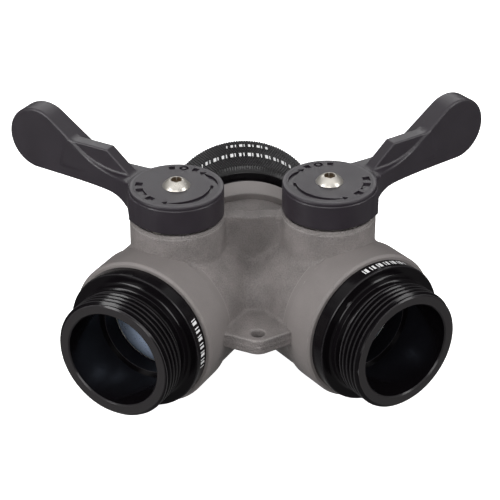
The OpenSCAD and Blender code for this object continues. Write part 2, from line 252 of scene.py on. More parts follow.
def skin(distance, low, high, cell):
    """The surface where distance(x, y, z) is zero, as faces about one cell across.

    Each cell of a grid that the surface passes through holds one point, which starts at the mean
    of the places where the surface cuts the cell's edges and then slides onto the surface.
    """
    axes = [np.arange(a, b + cell, cell) for a, b in zip(low, high)]
    value = distance(*np.meshgrid(*axes, indexing="ij", sparse=True)).astype(np.float32)
    inside = value < 0
    shape = tuple(n - 1 for n in value.shape)

    def shifted(array, corner):
        return array[tuple(slice(c, c + n) for c, n in zip(corner, shape))]

    corners = [(i, j, k) for i in (0, 1) for j in (0, 1) for k in (0, 1)]
    count = sum(shifted(inside, c).astype(np.int8) for c in corners)
    active = (count > 0) & (count < 8)
    cells = np.argwhere(active)
    number = np.full(shape, -1)
    number[active] = np.arange(len(cells))
    total = np.zeros((len(cells), 3))
    cuts = np.zeros(len(cells))
    for a in corners:
        for axis in range(3):
            if a[axis]:
                continue
            b = tuple(c + (n == axis) for n, c in enumerate(a))
            va = shifted(value, a)[active]
            vb = shifted(value, b)[active]
            cut = (va < 0) != (vb < 0)
            share = np.where(cut, va / np.where(cut, va - vb, 1), 0)
            place = np.array(a, float) + share[:, None] * (np.arange(3) == axis)
            total += place * cut[:, None]
            cuts += cut
    points = np.array([a[0] for a in axes]) + (cells + total / cuts[:, None]) * cell
    step = cell / 40
    slides = 4
    for _ in range(slides):
        at = distance(*points.T)
        ahead = [distance(*(points + step * e).T) for e in np.eye(3)]
        slope = (np.stack(ahead, -1) - at[:, None]) / step
        move = -at[:, None] * slope / np.maximum((slope**2).sum(1), 0.25)[:, None]
        points += np.clip(move, -cell / 3, cell / 3)
    faces = []
    for axis in range(3):
        u, v = (axis + 1) % 3, (axis + 2) % 3
        near = tuple(slice(0, -1) if n == axis else slice(1, -1) for n in range(3))
        far = tuple(slice(1, None) if n == axis else slice(1, -1) for n in range(3))
        offset = np.array([0 if n == axis else 1 for n in range(3)])
        for crossed, order in (
            (inside[near] & ~inside[far], (0, 1, 2, 3)),
            (~inside[near] & inside[far], (3, 2, 1, 0)),
        ):
            base = np.argwhere(crossed) + offset
            quad = []
            for du, dv in ((0, 0), (1, 0), (1, 1), (0, 1)):
                at = base.copy()
                at[:, u] -= du
                at[:, v] -= dv
                quad.append(number[tuple(at.T)])
            faces.append(np.stack([quad[n] for n in order], -1))
    return points, np.concatenate(faces)


# ---------------------------------------------------------------- materials


class Nodes:
    """A new material, and short ways to add nodes to it and link them."""

    def __init__(self, name):
        self.material = bpy.data.materials.new(name)
        self.material.use_nodes = True
        self.tree = self.material.node_tree
        self.shader = self.tree.nodes["Principled BSDF"]

    def add(self, kind, inputs, **settings):
        node = self.tree.nodes.new(kind)
        for key, value in settings.items():
            setattr(node, key, value)
        for key, value in inputs.items():
            if isinstance(value, bpy.types.NodeSocket):
                self.tree.links.new(value, node.inputs[key])
            else:
                node.inputs[key].default_value = value
        return node

    def noise(self, vector, size, detail=2.0, roughness=0.5):
        inputs = {"Vector": vector, "Scale": 1 / (size * MM), "Detail": detail, "Roughness": roughness}
        return self.add("ShaderNodeTexNoise", inputs).outputs["Fac"]

    def stretch(self, value, low, high, to_low, to_high):
        inputs = {
            "Value": value, "From Min": low, "From Max": high, "To Min": to_low, "To Max": to_high
        }
        return self.add("ShaderNodeMapRange", inputs).outputs["Result"]

    def mix(self, factor, a, b):
        inputs = {"Factor": factor, 6: a, 7: b}
        return self.add("ShaderNodeMix", inputs, data_type="RGBA").outputs[2]

    def maths(self, operation, a, b):
        return self.add("ShaderNodeMath", {0: a, 1: b}, operation=operation).outputs[0]

    def vector(self, operation, a, b=(0, 0, 0)):
        return self.add("ShaderNodeVectorMath", {0: a, 1: b}, operation=operation).outputs

    def bump(self, height, strength, depth, normal=None):
        inputs = {"Height": height, "Strength": strength, "Distance": depth * MM}
        if normal:
            inputs["Normal"] = normal
        return self.add("ShaderNodeBump", inputs).outputs["Normal"]


# Sizes in millimetres, and the pointiness between which an edge goes from its own colour to a painted edge
# highlight
PATCH_SIZE = 9.0
TURNING_SIZE = 0.35
EDGE_HIGHLIGHT_STARTS = 0.55
EDGE_HIGHLIGHT_FULL = 0.62


def finish(
    name,
    color,
    metallic=0.0,
    specular=0.5,
    roughness=0.5,
    uneven=0.08,
    tint=0.12,
    grain_size=0.5,
    grain=0.1,
    edge_highlight=0.0,
    edge_highlight_color=None,
    axis=None,
    point=(0, 0, 0),
    turning=0.0,
    crest=None,
    face=None,
    painted_light_color=None,
):
    """A surface finish with a blotchy colour, uneven roughness, grain, and a painted highlight that lightens its
    sharp edges.

    Tint is how far the blotches go either way from the colour, and grain_size is in millimetres.
    A part that was turned on a lathe also has its axis, a point on that axis in millimetres, and the strength of
    its turning marks. Between the two radii in crest, and between the two distances along the axis in face, it
    changes to a colour that paints light and shade: a painted shade in the screw sockets, a painted sheen on the
    outlets' front faces and painted glints on the knurl's points.
    """
    n = Nodes(name)
    where = n.add("ShaderNodeTexCoord", {}).outputs["Object"]
    patches = n.noise(where, PATCH_SIZE, 3.0, 0.6)
    speckle = n.noise(where, grain_size, 2.0, 0.55)
    dark = (*[c * (1 - tint) for c in color], 1)
    light = (*[min(1, c * (1 + tint)) for c in color], 1)
    blotch = n.maths("ADD", n.maths("MULTIPLY", patches, 0.5), n.maths("MULTIPLY", speckle, 0.5))
    base = n.mix(n.stretch(blotch, 0.35, 0.65, 0, 1), dark, light)
    # Sharp edges are lightened by their pointiness: a painted edge highlight
    if edge_highlight:
        edge = n.add("ShaderNodeNewGeometry", {}).outputs["Pointiness"]
        rough_edge = n.maths("ADD", edge, n.maths("MULTIPLY", speckle, 0.04))
        edge_highlit = n.stretch(rough_edge, EDGE_HIGHLIGHT_STARTS, EDGE_HIGHLIGHT_FULL, 0, edge_highlight)
        base = n.mix(edge_highlit, base, (*edge_highlight_color, 1))
    rough = n.stretch(blotch, 0.3, 0.7, max(0.03, roughness - uneven), min(1, roughness + uneven))
    normal = n.bump(speckle, grain, grain_size)
    if axis:
        offset = n.vector("SUBTRACT", where, tuple(v * MM for v in point))[0]
        along = n.vector("DOT_PRODUCT", offset, axis)["Value"]
        away = n.vector("LENGTH", n.vector("CROSS_PRODUCT", offset, axis)[0])["Value"]
        inputs = {"W": n.maths("ADD", along, away), "Scale": 1 / (TURNING_SIZE * MM), "Detail": 3.0}
        rings = n.add("ShaderNodeTexNoise", inputs, noise_dimensions="1D").outputs["Fac"]
        normal = n.bump(rings, turning, 0.1, normal)
        # Bands by radius and along the axis turn to the painted-light colour: painted shade, sheen and glints
        for place, span in ((away, crest), (along, face)):
            if span:
                painted_light_share = n.stretch(place, span[0] * MM, span[1] * MM, 0, 1)
                base = n.mix(painted_light_share, base, (*painted_light_color, 1))
    n.tree.links.new(base, n.shader.inputs["Base Color"])
    n.tree.links.new(rough, n.shader.inputs["Roughness"])
    n.tree.links.new(normal, n.shader.inputs["Normal"])
    n.shader.inputs["Metallic"].default_value = metallic
    n.shader.inputs["Specular IOR Level"].default_value = specular
    return n.material


# The three sizes that both a finish and a shape depend on
SWIVEL_R = 32.6
OUTLET_END = 48.9
SOCKET_R = 2.0

BODY_GREY = (0.18, 0.163, 0.158)
# Painted highlight for the grey parts' sharp edges
BODY_EDGE_HIGHLIGHT = (0.42, 0.4, 0.385)
BLACK = (0.004, 0.0032, 0.004)
# Painted highlight for the black parts' sharp edges
BLACK_EDGE_HIGHLIGHT = (0.13, 0.125, 0.13)
HANDLE_GREY = (0.0165, 0.0122, 0.0175)
# Painted highlight for the handles' sharp edges
HANDLE_EDGE_HIGHLIGHT = (0.12, 0.11, 0.125)
# Painted sheen for the outlets' front faces
RIM_PAINTED_SHEEN = (0.028, 0.026, 0.027)
# Painted glints for the knurl's points
KNURL_PAINTED_GLINT = (0.12, 0.115, 0.12)
# Painted shade for the inside of the screws' hex sockets
SOCKET_PAINTED_SHADE = (0.15, 0.115, 0.08)


def turned_grey(name, axis, point):
    return finish(
        name, BODY_GREY, roughness=0.55, tint=0.08, grain_size=0.4, grain=0.3,
        edge_highlight=0.45, edge_highlight_color=BODY_EDGE_HIGHLIGHT, axis=axis, point=point, turning=0.08,
    )


def turned_black(name, axis, point, face=None):
    return finish(
        name, BLACK, roughness=0.14, uneven=0.05, grain_size=0.25, grain=0.02, specular=0.22,
        edge_highlight=0.5, edge_highlight_color=BLACK_EDGE_HIGHLIGHT, axis=axis, point=point, turning=0.15,
        face=face, painted_light_color=RIM_PAINTED_SHEEN,
    )


cast_grey = finish(
    "cast_grey", BODY_GREY, roughness=0.6, tint=0.27, grain_size=0.6, grain=0.9,
    edge_highlight=0.6, edge_highlight_color=BODY_EDGE_HIGHLIGHT,
)
handle_coat = finish(
    "handle_coat", HANDLE_GREY, roughness=0.42, uneven=0.06, grain_size=0.35, grain=0.12,
    specular=0.6, edge_highlight=0.3, edge_highlight_color=HANDLE_EDGE_HIGHLIGHT,
)
dial_coat = finish(
    "dial_coat", HANDLE_GREY, roughness=0.45, uneven=0.05, grain_size=0.35, grain=0.12,
)
mark_paint = finish("mark_paint", (0.75, 0.75, 0.75), roughness=0.6, grain_size=0.2, tint=0.05)
black_rubber = finish("black_rubber", (0.02, 0.02, 0.02), roughness=0.75, grain_size=0.3)
white_ptfe = finish("white_ptfe", (0.86, 0.85, 0.8), roughness=0.4, grain=0.03, tint=0.03)
sintered_bronze = finish("sintered_bronze", (0.55, 0.36, 0.16), metallic=1.0, roughness=0.45)
black_oxide = finish("black_oxide", (0.1, 0.1, 0.11), metallic=0.8, roughness=0.4)
bright_steel = {}
ball_chrome = {}
outlet_grey = {}
outlet_black = {}
for side in SIDES:
    axis_point = (stems[side].x, stem_y, 0)
    # Inside the hex socket's radius the steel turns brown: a painted shade in the socket
    bright_steel[side] = finish(
        f"{side}_bright_steel", (0.6, 0.57, 0.52), metallic=0.8, roughness=0.33, grain=0.02,
        tint=0.04, axis=UP, point=axis_point, turning=0.1, crest=(SOCKET_R + 0.25, SOCKET_R + 0.1),
        painted_light_color=SOCKET_PAINTED_SHADE,
    )
    ball_chrome[side] = finish(
        f"{side}_ball_chrome", (0.36, 0.44, 0.58), metallic=0.35, roughness=0.3, grain=0.01,
        tint=0.03, axis=UP, point=axis_point, turning=0.04,
    )
    outlet_grey[side] = turned_grey(f"{side}_outlet_grey", outlets[side], axis_point)
    # The outlet's front face, its last 0.3 mm, turns a lighter black: a painted sheen
    outlet_black[side] = turned_black(
        f"{side}_outlet_black", outlets[side], axis_point, face=(OUTLET_END - 0.3, OUTLET_END)
    )
inlet_grey = turned_grey("inlet_grey", inlet, (0, 0, 0))
inlet_black = turned_black("inlet_black", inlet, (0, 0, 0))
# The knurl's outermost 0.3 mm is lighter: painted glints on its points
knurled_black = finish(
    "knurled_black", BLACK, roughness=0.3, uneven=0.08, grain_size=0.2, grain=0.05, specular=0.4,
    edge_highlight=0.3, edge_highlight_color=BLACK_EDGE_HIGHLIGHT, axis=inlet, turning=0.1,
    crest=(SWIVEL_R - 0.3, SWIVEL_R), painted_light_color=KNURL_PAINTED_GLINT,
)


def paint_cad_nodes():
    """Every CAD node takes its finish from its slot, whether or not a piece replaces it."""
    by_slot = {
        "seal_rubber": black_rubber, "ptfe": white_ptfe, "bronze": sintered_bronze,
        "plug_steel": black_oxide, "black_anodised": inlet_black,
    }
    by_side = {"ball_metal": ball_chrome, "stainless": bright_steel}
    for part in frame["record"]["subparts"]:
        node = frame["nodes"][part["node"]]
        slot = part["material_slot"]
        if slot in by_side:
            side = "left" if part["node"].startswith("left") else "right"
            material = by_side[slot][side]
        else:
            material = by_slot.get(slot, handle_coat)
        node.data.materials.clear()
        node.data.materials.append(material)


# ---------------------------------------------------------------- body casting

CHAMBER_R = 28.9
CHAMBER_BACK = -14
TAPER_BACK = -24
TAPER_GROWTH = 0.61
LEG_R = 22.8
LEG_BACK = -46
GROOVE_START = 13.15
COLLAR_START = 13.8
COLLAR_END = 27.4
COLLAR_R = 29.8
CHAMBER_BORE_R = 25.4
CHAMBER_BORE_BACK = -12
SEAT_BORE_R = 23.2
SEAT_BORE_BACK = -17.4
PASSAGE_R = 18.55
PASSAGE_FRONT = -21.4
NECK_R = 18
NECK_TOP = 38.3
NECK_GROOVE = 1.1
RIM_BOTTOM = 36.9
STEM_BORE_R = 6.05
STEM_POCKET_R = 9.2
STEM_POCKET_TOP = 30
BUSH_BORE_R = 8.02
BUSH_BOTTOM = 35.2
FLANGE_FRONT = 31.0
FLANGE_REAR = 41.7
FLANGE_R = 30.1
DRUM_START = 15.8
DRUM_R = 27.5
DRUM_GROWTH = 0.578
THROAT_R = 23.3
THROAT_START = 28.6
CROTCH_FILLET = 11.8
LEG_FILLET = 6
DRUM_FILLET = 3
NECK_FILLET = 1.5
RIB_FILLET = 2.6
TAB_FILLET = 1.2
TAPER_EDGE_R = 4
DRUM_EDGE_R = 2
RIB_T = 5.5
RIB_TOP = 36.6
TAB_HALF_T = 3.1
TAB_HOLE_Y = -30.4
TAB_HOLE_R = 2.7
TAB_NOSE_R = 5.8
TAB_SLOPE = 29
TAB_HALF_W = 16
TAB_ROOT_Y = -4


def tab_outline():
    """A rounded nose round the hole, with straight flanks that run into both collars."""
    slope = math.radians(TAB_SLOPE)
    side_y = TAB_HOLE_Y - TAB_NOSE_R * math.cos(slope)
    side_y += (TAB_HALF_W - TAB_NOSE_R * math.sin(slope)) * math.tan(slope)
    nose = arc(0, TAB_HOLE_Y, TAB_NOSE_R, -90 - TAB_SLOPE, -90 + TAB_SLOPE, 12)
    flanks = [(TAB_HALF_W, side_y), (TAB_HALF_W, TAB_ROOT_Y)]
    return nose + flanks + [(-x, y) for x, y in reversed(flanks)]


TAB_OUTLINE = tab_outline()


def valve_axes(x, y):
    """Distances along and across the right-hand outlet."""
    along = (x - stem_x) * OUTLET_SIN - y * OUTLET_COS
    across = (x - stem_x) * OUTLET_COS + y * OUTLET_SIN
    return along, across


def casting_outside(x, y, z):
    """Distance to the casting as if it were solid: y is zero at the stems."""
    inlet_away = np.hypot(x, z)
    chambers = []
    legs = []
    necks = []
    for flip in (1, -1):
        along, across = valve_axes(flip * x, y)
        away = np.hypot(across, z)
        chamber = rod(along, away, TAPER_BACK, GROOVE_START - 0.5, CHAMBER_R)
        taper = cone(along, away, CHAMBER_BACK, CHAMBER_R, TAPER_GROWTH)
        chamber = shared(chamber, taper, TAPER_EDGE_R)
        collar = rod(along, away, 0, COLLAR_END - 0.4, CHAMBER_R - 0.6)
        chambers.append(np.minimum(chamber, collar))
        legs.append(rod(along, away, LEG_BACK, -10, LEG_R))
        necks.append(rod(z, np.hypot(along, across), 0, RIM_BOTTOM + 0.1, NECK_R))
    solid = blended(*chambers, CROTCH_FILLET)
    inlet_cone = cone(y, inlet_away, FLANGE_FRONT, FLANGE_R - 0.6, -1)
    inlet_end = np.maximum(inlet_cone, y - FLANGE_FRONT - 0.2)
    solid = blended(solid, shared(blended(*legs, LEG_FILLET), inlet_end, DRUM_EDGE_R), DRUM_FILLET)
    drum = rod(y, inlet_away, DRUM_START, FLANGE_FRONT + 0.2, DRUM_R)
    drum_cone = cone(y, inlet_away, DRUM_START, LEG_R - 0.5, DRUM_GROWTH)
    solid = blended(solid, shared(drum, drum_cone, DRUM_EDGE_R), DRUM_FILLET)
    solid = blended(solid, np.minimum(*necks), NECK_FILLET)
    # The rib's top edge is a little wavy, as cast
    rib_top = RIB_TOP - 0.25 - 0.3 * np.cos(x / 1.9) * np.exp(-((x / 9) ** 2))
    rib = shared(slab(y, 0, RIB_T), z - rib_top, 0.7)
    rib = np.maximum(rib, np.maximum(np.abs(x) - stem_x + NECK_R - 4, -z))
    solid = blended(solid, rib, RIB_FILLET)
    # The line where the halves of the mould met
    ridge = 0.35 * np.clip(1 - np.abs(z) / 0.6, 0, 1)
    tab = shared(outline_distance(x, y, TAB_OUTLINE) - ridge, np.abs(z) - TAB_HALF_T, 0.6)
    return blended(solid, tab, TAB_FILLET)


def casting_hollows(x, y, z):
    """Distance to everything that is bored out of the casting."""
    inlet_away = np.hypot(x, z)
    hollow = rod(y, inlet_away, THROAT_START, FLANGE_REAR + 2, THROAT_R)
    throat_cone = np.maximum(cone(y, inlet_away, FLANGE_FRONT, THROAT_R, -1), y - FLANGE_FRONT)
    for flip in (1, -1):
        along, across = valve_axes(flip * x, y)
        away = np.hypot(across, z)
        stem_away = np.hypot(along, across)
        leg_bore = rod(along, away, LEG_BACK, CHAMBER_BORE_BACK, PASSAGE_R)
        for part in (
            np.maximum(leg_bore, throat_cone),
            rod(along, away, PASSAGE_FRONT, 0, PASSAGE_R),
            rod(along, away, SEAT_BORE_BACK, 0, SEAT_BORE_R),
            rod(along, away, CHAMBER_BORE_BACK, COLLAR_END + 30, CHAMBER_BORE_R),
            rod(z, stem_away, 0, NECK_TOP + 1, STEM_BORE_R),
            rod(z, stem_away, 0, STEM_POCKET_TOP, STEM_POCKET_R),
            rod(z, stem_away, BUSH_BOTTOM, NECK_TOP + 1, BUSH_BORE_R),
        ):
            hollow = np.minimum(hollow, part)
    return hollow


def casting(x, y, z):
    """Distance to the bored casting, with the hole in its tab."""
    solid = np.maximum(casting_outside(x, y, z), -casting_hollows(x, y, z))
    return shared(solid, TAB_HOLE_R - np.hypot(x, y - TAB_HOLE_Y), 0.4)


def make_body():
    """The casting, and crisp turned rings for its collars, neck rims and inlet flange."""
    cell = 0.6
    low = (-72, -46, -31)
    high = (72, 33, 39)
    make_piece("body_casting", skin(casting, low, high, cell), casting_place, cast_grey,
               "housing", "body", sharp=180)
    groove_floor = NECK_TOP - NECK_GROOVE
    for side in SIDES:
        collar = [
            (COLLAR_START, 27), (COLLAR_START, COLLAR_R, 0.25), (COLLAR_END - 0.8, COLLAR_R, 0.15),
            (COLLAR_END, COLLAR_R - 0.8, 0.15), (COLLAR_END, 26.2), (COLLAR_END - 1, 26.2),
            (COLLAR_END - 1.2, 27),
        ]
        band = [
            (GROOVE_START - 3, 28), (GROOVE_START - 3, CHAMBER_R + 0.02),
            (GROOVE_START, CHAMBER_R + 0.02, 0.1), (GROOVE_START, 28),
        ]
        make_piece(f"{side}_collar_ring", joined(lathe(collar, 192), lathe(band, 192)),
                   valve_place(side), outlet_grey[side], "housing", sharp=30)
        rim = [
            (RIM_BOTTOM, 8.2), (RIM_BOTTOM, NECK_R), (NECK_TOP - 0.6, NECK_R, 0.1),
            (NECK_TOP, NECK_R - 0.6, 0.1), (NECK_TOP, NECK_R - 1), (groove_floor, NECK_R - 1),
            (groove_floor, 12.5), (NECK_TOP, 12.5), (NECK_TOP, 11.2), (NECK_TOP - 0.1, 11.2),
            (NECK_TOP - 0.1, 8.2),
        ]
        make_piece(f"{side}_neck_rim", lathe(rim), about_stem(valve_place(side)), cast_grey,
                   "housing", sharp=30)
    flange = [
        (FLANGE_FRONT, 24.5), (FLANGE_FRONT, FLANGE_R, 0.6), (FLANGE_REAR, FLANGE_R, 0.6),
        (FLANGE_REAR, THROAT_R), (FLANGE_REAR - 1, THROAT_R), (FLANGE_REAR - 1, 24.5),
    ]
    y_from_inlet = [(a + stem_y, *rest) for a, *rest in flange]
    make_piece("inlet_flange", lathe(y_from_inlet, 192), inlet_place, inlet_grey,
               "housing", sharp=30)


# ---------------------------------------------------------------- outlets

PITCH = 2.209
CREST_R = 23.86
THREAD_DEPTH = 1.3
THREAD_START = 37.4
WATERWAY_R = 19.05
LIP_R = 17.8
LIP_START = 18.2
LIP_END = 25.4
BALL_RECESS_R = 18.6
SPIGOT_START = 17.3
SPIGOT_R = 25.2
SEAT_R = 20.9
SEAT_END = 19
ENERGISER_R = 23.1
ORING_R = 23.6
RELIEF_R = 22.2
ADAPTER_FLANGE_R = 28
ADAPTER_FLANGE_END = 33.4
THREAD_ROOT_R = CREST_R - THREAD_DEPTH - 0.05

# A thread's section: shares of the pitch and of the depth
THREAD_FORM = [(0, 0), (0.1, 0), (0.4, 1), (0.6, 1), (0.9, 0)]


def male_radius(along, turn):
    """The thread's surface, cut back to a cone at both of its ends."""
    phase = ((along - THREAD_START) / PITCH - turn / (2 * math.pi)) % 1
    shares, depths = zip(*THREAD_FORM, (1, 0))
    cut = CREST_R - THREAD_DEPTH * np.interp(phase, shares, depths)
    ends = np.minimum(along - THREAD_START, (OUTLET_END - along) * 1.5)
    return np.minimum(cut, THREAD_ROOT_R + np.maximum(ends, 0))


def thread_band(start, end, radius_at, segments):
    """Rows that wind round with the thread, between two flat ends."""
    turn = np.linspace(0, 2 * math.pi, segments + 1)
    turns = range(-1, math.ceil((end - start) / PITCH) + 1)
    mid_slopes = [0.25, 0.75]
    shares = sorted([share for share, _ in THREAD_FORM] + mid_slopes)
    rows = []
    for whole in turns:
        for share in shares:
            along = start + (whole + share + turn / (2 * math.pi)) * PITCH
            rows.append(np.clip(along, start, end))
    along = np.array(rows)
    points = around(along, radius_at(along, turn), turn)
    return points, grid_faces(len(rows), segments + 1, False, False)


def make_outlets():
    """Each outlet's black nipple: a turned body that carries a helical thread."""
    segments = 160
    groove_start = 24.1
    groove_end = 26.3
    relief_start = 36.2
    # From the thread's front, through the bore and back over the outside
    rest = [
        (OUTLET_END, THREAD_ROOT_R), (OUTLET_END, WATERWAY_R + 0.5), (OUTLET_END - 0.5, WATERWAY_R),
        (LIP_END, WATERWAY_R), (LIP_END, LIP_R), (LIP_START, LIP_R), (LIP_START, BALL_RECESS_R),
        (SPIGOT_START, BALL_RECESS_R), (SPIGOT_START, SEAT_R), (SEAT_END, SEAT_R),
        (SEAT_END, ENERGISER_R), (SPIGOT_START, ENERGISER_R), (SPIGOT_START, SPIGOT_R),
        (groove_start, SPIGOT_R), (groove_start, ORING_R), (groove_end, ORING_R),
        (groove_end, SPIGOT_R), (COLLAR_END, SPIGOT_R), (COLLAR_END, ADAPTER_FLANGE_R, 0.3),
        (ADAPTER_FLANGE_END, ADAPTER_FLANGE_R, 0.7), (ADAPTER_FLANGE_END, CREST_R + 0.54, 0.4),
        (ADAPTER_FLANGE_END + 0.5, CREST_R + 0.04), (relief_start, CREST_R + 0.04, 0.2),
        (relief_start + 0.6, RELIEF_R, 0.2), (THREAD_START - 0.1, RELIEF_R),
        (THREAD_START, THREAD_ROOT_R),
    ]
    band = thread_band(THREAD_START, OUTLET_END, male_radius, segments)
    for side in SIDES:
        shape = joined(band, lathe(rest, segments, closed=False))
        make_piece(f"{side}_outlet_nipple", shape, valve_place(side), outlet_black[side],
                   "housing", f"{side}_outlet_adapter", sharp=25)


# ---------------------------------------------------------------- painted marks


def curved_patch(low, high, radius, start, end, thickness=0.03):
    """A thin patch on a cylinder, between two distances along it and two angles in degrees."""
    turn = np.radians(np.linspace(start, end, 5))
    loops = []
    for along, r in (
        (low, radius - thickness), (low, radius), (high, radius), (high, radius - thickness)
    ):
        loops.append(around(along, r, turn))
    points = np.concatenate(loops)
    faces = grid_faces(4, len(turn), True, False).tolist()
    count = len(turn)
    faces.append([row * count for row in range(4)])
    faces.append([row * count + count - 1 for row in range(4)])
    return points, faces


def dashes(low, high, radius, start, end, count):
    """A row of plain dashes of three widths round a cylinder."""
    patches = []
    step = (end - start) / count
    for i in range(count):
        width = step * (0.25, 0.55, 0.25, 0.7)[i % 4]
        at = start + i * step
        patches.append(curved_patch(low, high, radius, at, at + width))
    return joined(*patches)


def make_marks():
    """A row of dashes on each outlet's flange, between the angles seen in the photograph."""
    low = COLLAR_END + 1.5
    high = ADAPTER_FLANGE_END - 2
    for side, start, end in (("left", -10, 34), ("right", 62, 106)):
        row = dashes(low, high, ADAPTER_FLANGE_R + 0.02, start, end, 13)
        make_piece(f"{side}_outlet_marks", row, valve_place(side), mark_paint, "housing")


# ---------------------------------------------------------------- swivel

SWIVEL_FRONT = -25.4
SWIVEL_BEVEL = 2.4
KNURL_FRONT = -24.5
KNURL_REAR = -0.5
KNURL_ROWS = 18
KNURL_COLUMNS = 380
KNURL_DEPTH = 0.5
KNURL_ROOT_R = SWIVEL_R - 1
FEMALE_R = 22.6
FEMALE_ROOT_R = FEMALE_R + 1.4
FEMALE_END = -10.6
GASKET_R = 24.1
GASKET_FRONT = -11.7
RECESS_R = 24.2
RECESS_FRONT = -15.7
TAILPIECE_BORE_R = 26.45
RACE_R = 27.75
RACE_REAR = -20.7
RACE_FRONT = -23.9


def knurl_band():
    """Diamond points from a plain front ring to a toothed rear face."""
    along = np.append(np.linspace(KNURL_FRONT, KNURL_REAR, KNURL_ROWS), KNURL_REAR)
    turn = np.arange(KNURL_COLUMNS) * 2 * math.pi / KNURL_COLUMNS
    row = np.arange(KNURL_ROWS + 1)[:, None]
    column = np.arange(KNURL_COLUMNS)[None, :]
    valley = (row + column) % 2 == 1
    inner = (row > 0) & (row < KNURL_ROWS)
    bevel = np.minimum(along - SWIVEL_FRONT - SWIVEL_BEVEL, 0)[:, None]
    radius = SWIVEL_R + bevel - KNURL_DEPTH * np.where(inner, valley, 1)
    radius[-1] = KNURL_ROOT_R
    points = around(along[:, None], radius, turn)
    faces = []
    for a, b, c, d in grid_faces(KNURL_ROWS + 1, KNURL_COLUMNS, False, True).tolist():
        r, k = divmod(a, KNURL_COLUMNS)
        if (r + k) % 2:
            faces += [(a, b, c), (a, c, d)]
        else:
            faces += [(a, b, d), (b, c, d)]
    return points, faces


def make_swivel():
    """The knurled ring with its threaded bore and ball race, and two rows of painted dashes."""
    bevel_r = SWIVEL_R - SWIVEL_BEVEL
    knurl_start_r = bevel_r + KNURL_FRONT - SWIVEL_FRONT
    rear = [
        (KNURL_REAR, KNURL_ROOT_R), (0, KNURL_ROOT_R - 0.5, 0.1), (0, FEMALE_ROOT_R),
    ]
    inside = [
        (FEMALE_END, FEMALE_ROOT_R), (FEMALE_END, GASKET_R), (GASKET_FRONT, GASKET_R),
        (RECESS_FRONT, RECESS_R), (RECESS_FRONT, TAILPIECE_BORE_R), (RACE_REAR, TAILPIECE_BORE_R),
        (RACE_REAR - 0.7, RACE_R), (RACE_FRONT + 0.7, RACE_R), (RACE_FRONT, TAILPIECE_BORE_R),
        (SWIVEL_FRONT, TAILPIECE_BORE_R), (SWIVEL_FRONT, bevel_r, 0.2),
        (KNURL_FRONT - 0.1, knurl_start_r, 0.1), (KNURL_FRONT, knurl_start_r - KNURL_DEPTH),
    ]

    def female_radius(along, turn):
        phase = ((along - FEMALE_END) / PITCH - turn / (2 * math.pi)) % 1
        shares, depths = zip(*THREAD_FORM, (1, 0))
        cut = FEMALE_R + THREAD_DEPTH * np.interp(phase, shares, depths)
        ends = np.minimum(-along * 1.5, (along - FEMALE_END) * 3)
        return np.maximum(cut, FEMALE_ROOT_R - np.maximum(ends, 0))

    shape = joined(
        knurl_band(), lathe(rear, KNURL_COLUMNS, closed=False),
        thread_band(FEMALE_END, 0, female_radius, KNURL_COLUMNS),
        lathe(inside, KNURL_COLUMNS, closed=False),
    )
    make_piece("swivel_collar", shape, inlet_place, knurled_black, "swivel",
               "swivel_ring", sharp=20)
    marks = joined(
        dashes(-15.2, -12.2, SWIVEL_R + 0.03, 58, 128, 22),
        dashes(-6.6, -4.4, SWIVEL_R + 0.03, 78, 110, 10),
    )
    make_piece("swivel_marks", marks, inlet_place, mark_paint, "swivel")


# ---------------------------------------------------------------- handles

DISC_R = 18
DISC_BOTTOM = 39.3
DISC_TOP = 50.7
CAP_BOTTOM = 49.25
PLATE_BOTTOM = 49.95
PLATE_R = 16.5
PADDLE_REACH = 64.3
PADDLE_R = 12.7
BLADE_BOTTOM = 41.7
BLADE_BASE_TOP = 49.4
BLADE_SLOPE = 35
BLADE_BLEND_R = 30
GUSSET_TOP = 58.1
STEM_SQUARE_HALF = 4.05
STEM_SQUARE_TOP = 47.2
STOP_SLOT_R = 14.8
STOP_SLOT_HALF_W = 2
STOP_SLOT_TOP = 42.8
SCREW_HOLE_R = 3.2


def blade_outline():
    """The blade seen from the front: reach along the handle, height above the outlets."""
    slope = math.radians(BLADE_SLOPE)
    rise = BLADE_BOTTOM + PADDLE_R * (1 + math.cos(slope)) - BLADE_BASE_TOP
    corner = PADDLE_REACH - PADDLE_R * math.sin(slope) - rise / math.tan(slope)
    start = corner - BLADE_BLEND_R * math.tan(slope / 2)
    neck_r = 24
    lower = arc(30, BLADE_BOTTOM - neck_r, neck_r, 118, 90, 8)
    paddle = arc(PADDLE_REACH, BLADE_BOTTOM + PADDLE_R, PADDLE_R, -90, 90 + BLADE_SLOPE, 40)
    blend = arc(start, BLADE_BASE_TOP + BLADE_BLEND_R, BLADE_BLEND_R, -90 + BLADE_SLOPE, -90, 10)
    return [(8, DISC_BOTTOM), (lower[0][0], DISC_BOTTOM)] + lower + paddle + blend + [(8, BLADE_BASE_TOP)]


BLADE_OUTLINE = blade_outline()
GUSSET_OUTLINE = [
    (16, BLADE_BASE_TOP - 3), (20.5, BLADE_BASE_TOP), (30.8, GUSSET_TOP), (49, GUSSET_TOP),
    (52, BLADE_BASE_TOP), (52, BLADE_BASE_TOP - 3),
]


